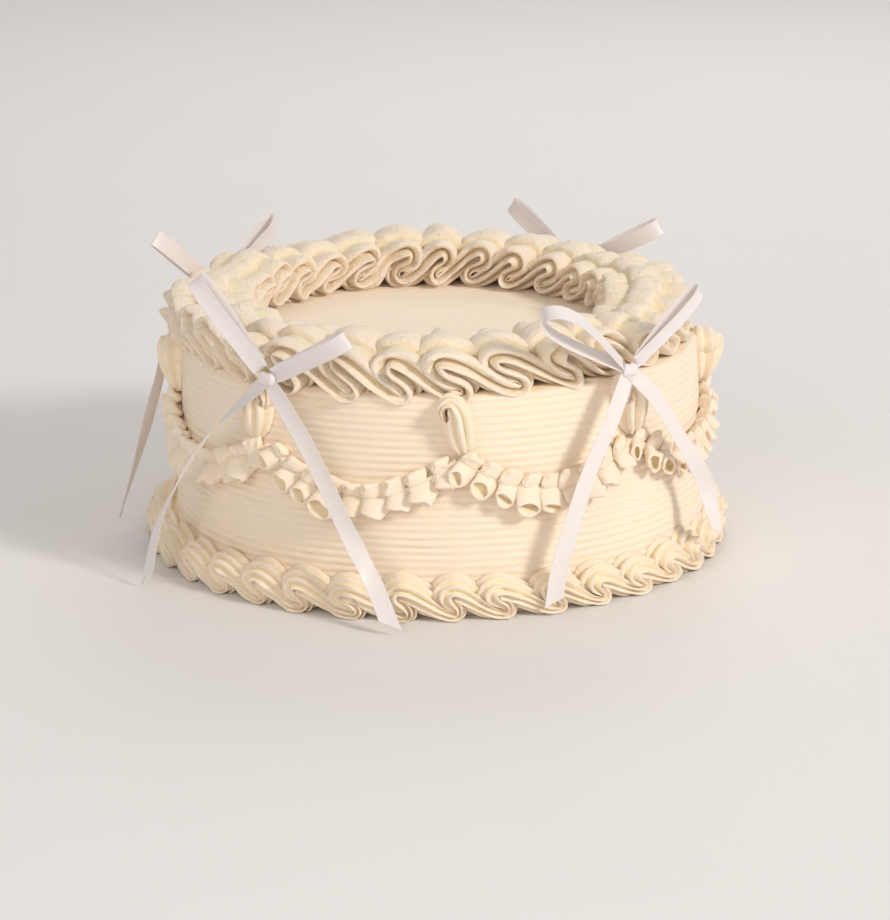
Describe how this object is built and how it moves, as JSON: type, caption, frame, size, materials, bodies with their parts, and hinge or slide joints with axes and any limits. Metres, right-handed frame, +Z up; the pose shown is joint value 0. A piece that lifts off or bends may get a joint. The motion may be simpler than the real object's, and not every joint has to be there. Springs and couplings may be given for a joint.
{
  "type": "piped buttercream cake",
  "caption": "Round buttercream cake with combed sides, a ruffled shell border on top, drops and swags on the side, a shell border at the foot and satin ribbon bows.",
  "frame": {"origin": "centre of the cake's flat underside", "axes": "+Z up along the cake's axis, -Y towards the front, +X to the right seen from the front"},
  "size_m": [0.2476, 0.2547, 0.1272],
  "materials": {
    "buttercream": "soft matt whipped buttercream, ivory, slightly translucent",
    "satin_ribbon": "narrow white satin ribbon with woven edges"
  },
  "bodies": {
    "root": {"cake_body": "buttercream", "top_border": "buttercream", "base_border": "buttercream", "drop_01": "buttercream", "drop_02": "buttercream", "drop_03": "buttercream", "drop_04": "buttercream", "drop_05": "buttercream", "drop_06": "buttercream", "drop_07": "buttercream", "drop_08": "buttercream", "swag_01": "buttercream", "swag_02": "buttercream", "swag_03": "buttercream", "swag_04": "buttercream", "swag_05": "buttercream", "swag_06": "buttercream", "swag_07": "buttercream", "swag_08": "buttercream", "bow_front_left": "satin_ribbon", "bow_front_right": "satin_ribbon", "bow_rear_left": "satin_ribbon", "bow_rear_right": "satin_ribbon"}
  },
  "joints": []
}
